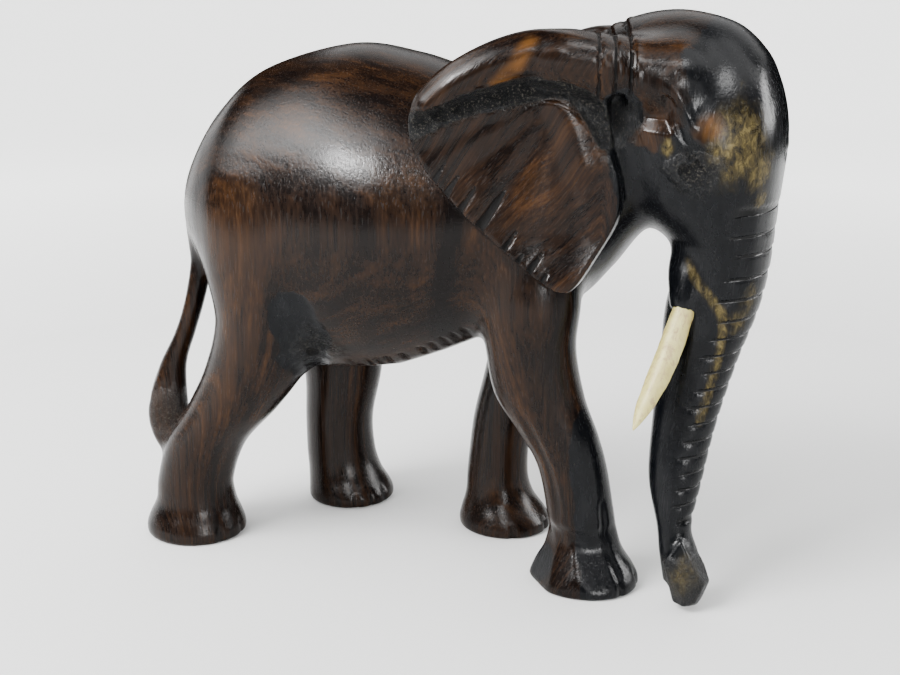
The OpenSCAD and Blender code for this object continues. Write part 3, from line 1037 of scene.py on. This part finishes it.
class Nodes:
    """Short way to build a material's nodes."""

    def __init__(self, name):
        self.material = bpy.data.materials.new(name)
        self.material.use_nodes = True
        self.tree = self.material.node_tree
        self.shader = self.tree.nodes["Principled BSDF"]

    def add(self, kind, **settings):
        node = self.tree.nodes.new("ShaderNode" + kind)
        for key, value in settings.items():
            setattr(node, key, value)
        return node

    def link(self, source, target):
        self.tree.links.new(source, target)

    def math(self, operation, a, b=None, clamp=False):
        node = self.add("Math", operation=operation, use_clamp=clamp)
        for socket, value in zip(node.inputs, (a, b)):
            self.put(socket, value)
        return node.outputs[0]

    def times(self, a, b, clamp=False):
        return self.math("MULTIPLY", a, b, clamp)

    def plus(self, a, b, share=1, clamp=False):
        """a + share * b"""
        return self.math("ADD", a, b if share == 1 else self.times(b, share), clamp)

    def put(self, socket, value):
        if value is None:
            return
        if hasattr(value, "is_output"):
            self.link(value, socket)
        else:
            socket.default_value = value

    def millimetres(self):
        """Places on the object in mm."""
        return self.scaled(self.add("TexCoord").outputs["Object"], (1000, 1000, 1000))

    def scaled(self, vector, factors):
        node = self.add("VectorMath", operation="MULTIPLY")
        self.link(vector, node.inputs[0])
        node.inputs[1].default_value = factors
        return node.outputs[0]

    def noise(self, vector, scale, detail=3.0, roughness=0.5, distortion=0.0):
        node = self.add("TexNoise")
        self.link(vector, node.inputs["Vector"])
        node.inputs["Scale"].default_value = scale
        node.inputs["Detail"].default_value = detail
        node.inputs["Roughness"].default_value = roughness
        node.inputs["Distortion"].default_value = distortion
        return node.outputs[0]

    def stretched(self, vector, factors, detail, roughness=0.5, distortion=0.0):
        """Noise that is finer along each axis by its factor."""
        return self.noise(self.scaled(vector, factors), 1.0, detail, roughness, distortion)

    def ramp(self, factor, stops):
        node = self.add("ValToRGB")
        elements = node.color_ramp.elements
        while len(elements) < len(stops):
            elements.new(0.5)
        for element, (place, colour) in zip(elements, stops):
            element.position = place
            element.color = (*colour, 1) if len(colour) == 3 else colour
        self.link(factor, node.inputs[0])
        return node.outputs[0]

    def span(self, value, low_in, high_in, low_out=0.0, high_out=1.0):
        node = self.add("MapRange")
        self.link(value, node.inputs[0])
        for socket, number in zip(node.inputs[1:5], (low_in, high_in, low_out, high_out)):
            socket.default_value = number
        return node.outputs[0]

    def mix(self, factor, a, b, mode="MIX"):
        node = self.add("Mix", data_type="RGBA", blend_type=mode)
        self.put(node.inputs[0], factor)
        self.put(node.inputs[6], a if hasattr(a, "is_output") else (*a, 1))
        self.put(node.inputs[7], b if hasattr(b, "is_output") else (*b, 1))
        return node.outputs[2]

    def attribute(self, name):
        return self.add("Attribute", attribute_name=name).outputs["Vector"]

    def parts(self, name):
        """The three numbers of an attribute."""
        split = self.add("SeparateXYZ")
        self.link(self.attribute(name), split.inputs[0])
        return split.outputs

    def relief(self, height, strength, distance):
        """Fine bump; distance is in metres."""
        bump = self.add("Bump")
        bump.inputs["Strength"].default_value = strength
        bump.inputs["Distance"].default_value = distance
        self.link(height, bump.inputs["Height"])
        self.link(bump.outputs[0], self.shader.inputs["Normal"])


def wood_material():
    """Waxed dark hardwood, from the vertices' paint and from noise in the grain's coordinates."""
    n = Nodes("dark_hardwood")
    grain = n.attribute("grain")
    gold, orange, warm = n.parts("tint")
    black_and_shade, slit_shade, rough = n.parts("depth")
    ring, on_rings, _ = n.parts("rings")
    place = n.millimetres()
    # figure: broad bands, streaks and fine lines that all run along the grain
    broad = n.stretched(grain, (0.22, 0.05, 0.004), 2, 0.5)
    streaks = n.stretched(grain, (1.15, 0.16, 0.006), 3, 0.55, 0.1)
    fine = n.stretched(grain, (4.2, 1.9, 0.018), 2, 0.6)
    figure = n.plus(n.times(broad, 0.30), streaks, 0.42)
    figure = n.plus(figure, fine, 0.30)
    figure = n.plus(n.times(figure, 1.15), warm, 0.10)
    figure = n.math("SUBTRACT", figure, 0.076)
    colour = n.ramp(figure, [
        (0.40, (0.0022, 0.0012, 0.0010)),
        (0.48, (0.0052, 0.0027, 0.0018)),
        (0.55, (0.0100, 0.0048, 0.0026)),
        (0.62, (0.0180, 0.0080, 0.0034)),
        (0.70, (0.0320, 0.0135, 0.0046)),
        (0.82, (0.0560, 0.0235, 0.0064)),
    ])
    # short dark pores along the grain
    pores = n.stretched(grain, (4.5, 3.0, 0.16), 1, 0.6)
    pore_mask = n.span(pores, 0.62, 0.72)
    colour = n.mix(n.times(pore_mask, 0.5), colour, (0.003, 0.002, 0.002))
    mottle = n.noise(place, 0.35, 4, 0.6)
    # black: the dark heartwood, and painted shade in the ears' hollows and grooves
    black_and_shade_tone = n.ramp(n.noise(n.scaled(place, (1, 1, 0.35)), 0.5, 4, 0.6),
                        [(0.35, (0.0012, 0.0015, 0.0022)), (0.7, (0.0048, 0.0051, 0.0060))])
    ragged = n.plus(n.span(mottle, 0.3, 0.7, -0.35, 0.35), n.span(fine, 0.3, 0.7, -0.2, 0.2))
    black_and_shade_mask = n.span(n.plus(black_and_shade, ragged), -0.16, 0.16)
    colour = n.mix(black_and_shade_mask, colour, black_and_shade_tone)
    scratch = n.stretched(place, (0.9, 0.9, 0.5), 5, 0.68, 0.8)
    gold_mask = n.times(gold, n.span(scratch, 0.34, 0.60, 0.25, 1.0), clamp=True)
    gold_tone = n.ramp(scratch, [(0.36, (0.022, 0.016, 0.005)), (0.55, (0.075, 0.055, 0.016)),
                                 (0.72, (0.160, 0.122, 0.042))])
    colour = n.mix(gold_mask, colour, gold_tone)
    orange_mask = n.times(orange, n.span(streaks, 0.35, 0.6, 0.3, 0.85), clamp=True)
    colour = n.mix(orange_mask, colour, (0.100, 0.040, 0.0072))
    # thin dark line of painted shade at each ring on the trunk, painted shade in the slits, and pale
    # painted glints where the wood is rough
    nearest = n.math("ROUND", n.plus(ring, n.span(mottle, 0, 1, -1, 1), 0.02))
    phase = n.math("SUBTRACT", ring, nearest)
    # painted shade along each ring's cut on the trunk
    ring_shade = n.times(n.span(n.math("ABSOLUTE", phase), 0.05, 0.10, 1, 0), on_rings)
    # cut: painted shade in the slits
    cut = n.span(n.plus(slit_shade, n.span(mottle, 0.3, 0.7, -0.12, 0.12)), -0.12, 0.08)
    colour = n.mix(ring_shade, colour, (0.0012, 0.0012, 0.0014))
    colour = n.mix(n.times(cut, 0.9), colour, (0.0016, 0.0015, 0.0016))
    # painted glints: pale specks where the wood is rough
    glint_noise = n.noise(place, 2.6, 3, 0.7)
    painted_glint = n.times(rough, n.span(glint_noise, 0.54, 0.66, 0.0, 0.8), clamp=True)
    colour = n.mix(painted_glint, colour, (0.075, 0.068, 0.055))
    n.link(colour, n.shader.inputs["Base Color"])
    # gloss: waxed and rubbed, duller in the grain's dark lines and where the chisel marks were left
    dullness = n.plus(n.span(fine, 0.35, 0.7, 0.19, 0.26),
                      n.span(n.noise(place, 0.12, 3), 0.3, 0.7, -0.02, 0.03))
    for where, more in ((pore_mask, 0.15), (gold_mask, 0.12), (rough, 0.10)):
        dullness = n.plus(dullness, where, more)
    dullness = n.plus(dullness, cut, 0.6, clamp=True)
    n.link(dullness, n.shader.inputs["Roughness"])
    n.shader.inputs["Specular IOR Level"].default_value = 0.12
    # relief: pores, faint tool scratches, rings, chipped wood
    tool_marks = n.stretched(place, (0.6, 0.6, 2.4), 3, 0.6, 0.8)
    chips = n.times(rough, n.noise(place, 1.3, 5, 0.75))
    height = n.times(pore_mask, -0.06)
    for where, rise in ((fine, 0.28), (tool_marks, 0.12), (ring_shade, -1.6), (cut, -2.0), (chips, 12.0)):
        height = n.plus(height, where, rise)
    n.relief(height, 0.6, 0.00022)
    return n.material


def bone_material():
    """Satin bone with faint fibres and stains."""
    n = Nodes("bone")
    place = n.millimetres()
    cloud = n.noise(place, 0.22, 4, 0.6)
    colour = n.ramp(cloud, [(0.3, (0.40, 0.33, 0.085)), (0.5, (0.49, 0.43, 0.13)),
                            (0.7, (0.55, 0.50, 0.19))])
    fibres = n.stretched(place, (1.6, 1.6, 0.22), 4, 0.6)
    colour = n.mix(n.span(fibres, 0.52, 0.75, 0.0, 0.45), colour, (0.50, 0.37, 0.17))
    stain = n.stretched(place, (0.9, 0.9, 0.35), 5, 0.7, 0.8)
    colour = n.mix(n.span(stain, 0.50, 0.62, 0.0, 0.7), colour, (0.30, 0.19, 0.075))
    n.link(colour, n.shader.inputs["Base Color"])
    n.link(n.span(cloud, 0.3, 0.7, 0.42, 0.55), n.shader.inputs["Roughness"])
    n.shader.inputs["Subsurface Weight"].default_value = 0.12
    n.shader.inputs["Subsurface Radius"].default_value = (0.9, 0.6, 0.35)
    n.shader.inputs["Subsurface Scale"].default_value = 0.001
    n.relief(n.plus(fibres, n.span(stain, 0.6, 0.7), -0.8), 0.5, 0.00015)
    return n.material


def floor_material():
    """Pale floor with a faint painted glow that rises with distance from the figure."""
    n = Nodes("pale_floor")
    place = n.add("TexCoord").outputs["Object"]
    colour = n.ramp(n.noise(place, 6.0, 3), [(0.3, (0.80, 0.80, 0.795)), (0.7, (0.83, 0.83, 0.825))])
    n.link(colour, n.shader.inputs["Base Color"])
    n.shader.inputs["Roughness"].default_value = 0.75
    # a faint glow that rises with distance from the figure keeps the far floor pale
    away = n.add("VectorMath", operation="LENGTH")
    n.link(place, away.inputs[0])
    glow = n.span(away.outputs["Value"], GLOW_STARTS, GLOW_FULL, 0.0, GLOW)
    n.link(glow, n.shader.inputs["Emission Strength"])
    n.shader.inputs["Emission Color"].default_value = (0.99, 1.0, 0.99, 1)
    return n.material


# ---- floor, lights, camera

def make_sheet(name, level, reach, rings, rise, seen_in_gloss):
    """Pale round sheet of radius reach. Its inner 0.9 m lies flat, and beyond that it curves up."""
    around = 96
    vertices = [(0, 0, level)]
    for r in np.linspace(0.05, reach, rings):
        height = level + rise * max(0.0, (r - 0.9) / 1.5) ** 2
        for k in range(around):
            a = 2 * math.pi * k / around
            vertices.append((r * math.cos(a), r * math.sin(a), height))
    faces = [(0, 1 + k, 1 + (k + 1) % around) for k in range(around)]
    for i in range(rings - 1):
        for k in range(around):
            a, b = 1 + i * around + k, 1 + i * around + (k + 1) % around
            faces.append((a, a + around, b + around, b))
    obj = smooth_mesh(name, vertices, faces)
    obj.visible_glossy = seen_in_gloss
    return obj


def make_floor():
    """The table that the figure stands on, which its gloss shows, and the backdrop, which it doesn't."""
    pale = floor_material()
    table = make_sheet("table", 0.0, 0.7, 12, 0.0, True)
    backdrop = make_sheet("backdrop", -0.0004, 2.4, 40, 1.6, False)
    for obj in (table, backdrop):
        obj.data.materials.append(pale)


# What the lamps face: the middle of the figure, in metres
TARGET = Vector((0, 0, 0.06))


def direction(azimuth, elevation):
    """From the figure towards a place round it. Azimuth 0 is on the -Y side."""
    a, e = math.radians(azimuth), math.radians(elevation)
    return Vector((math.sin(a) * math.cos(e), -math.cos(a) * math.cos(e), math.sin(e)))


def aim(obj, place, way):
    """Puts a lamp or camera at a place, looking the given way."""
    obj.location = place
    obj.rotation_euler = way.to_track_quat("-Z", "Y").to_euler()
    return obj


def card(name, azimuth, elevation, wide, tall, radiance, distance=0.9):
    """Soft white card that faces the figure, so many degrees wide and tall, as bright as radiance."""
    size = [2 * distance * math.tan(math.radians(angle) / 2) for angle in (wide, tall)]
    data = bpy.data.lights.new(name, "AREA")
    data.shape = "RECTANGLE"
    data.size, data.size_y = size
    data.energy = radiance * math.pi * size[0] * size[1]
    way = direction(azimuth, elevation)
    return aim(add_object(name, data), TARGET + way * distance, -way)


# Cards that only gloss shows: name, azimuth, elevation, width and height in degrees, radiance
GLOSS_CARDS = [
    ("window_core", -24, 28, 9, 7, 300),
    ("window_glow", -38, 35, 22, 16, 14),
    ("window_haze", -45, 38, 38, 25, 14),
    ("window_edge", -48, 40, 58, 38, 6),
    ("side_window", 114, 18, 18, 26, 30),
    ("front_window", 20, 26, 10, 8, 60),
    ("brow_window", 40, 7, 9, 10, 62),
    ("sky_card", 84, 54, 44, 40, 4.5),
    ("neck_window", 50, 44, 24, 12, 34),
    ("back_card", 178, 45, 70, 36, 1.7),
    ("left_card", -106, 8, 44, 28, 2.4),
    ("foot_card", 62, 8, 22, 8, 4),
]
# Lamps that gloss doesn't show, given the same way, with their distance in metres
PLAIN_LAMPS = [
    ("overhead", -70, 66, 40, 40, 4.6, 0.9),
    ("key", -40, 40, 28, 28, 23.0, 0.9),
    ("backdrop_lamp", 180, 50, 70, 50, 0.9, 2.0),
]


def make_lights():
    """A white tent of light and broad lamps for the colours, and cards that only gloss shows."""
    world = bpy.data.worlds.new("studio")
    bpy.context.scene.world = world
    world.use_nodes = True
    background = world.node_tree.nodes["Background"]
    background.inputs["Color"].default_value = (0.98, 0.99, 1.0, 1)
    background.inputs["Strength"].default_value = 0.68
    world.cycles_visibility.glossy = False
    for values in GLOSS_CARDS:
        card(*values).visible_diffuse = False
    for values in PLAIN_LAMPS:
        card(*values).visible_glossy = False


# The camera's place in metres, and how far it looks to the figure's back and down, in degrees
CAMERA_PLACE = (0.090, -0.232, 0.1145)
CAMERA_AZIMUTH, CAMERA_PITCH = 21.0, 15.4


def make_camera():
    """Camera in front of the figure's right side, a little above the back and looking slightly down."""
    data = bpy.data.cameras.new("camera")
    data.sensor_width = 36.0
    data.lens = 48.0
    data.clip_start = 0.01
    way = -direction(CAMERA_AZIMUTH, CAMERA_PITCH)
    bpy.context.scene.camera = aim(add_object("camera", data), CAMERA_PLACE, way)


# ---- everything together

make_camera()
make_lights()
make_floor()

body = make_body()
body.data.materials.append(wood_material())
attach(body, "root")
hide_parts("carved_body")

bone = bone_material()
for tusk_name, tusk_side, node in (("tusk_bone_right", RIGHT, "tusk_right"),
                                   ("tusk_bone_left", LEFT, "tusk_left")):
    tusk = make_tusk(tusk_name, tusk_side)
    tusk.data.materials.append(bone)
    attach(tusk, "root")
    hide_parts(node)
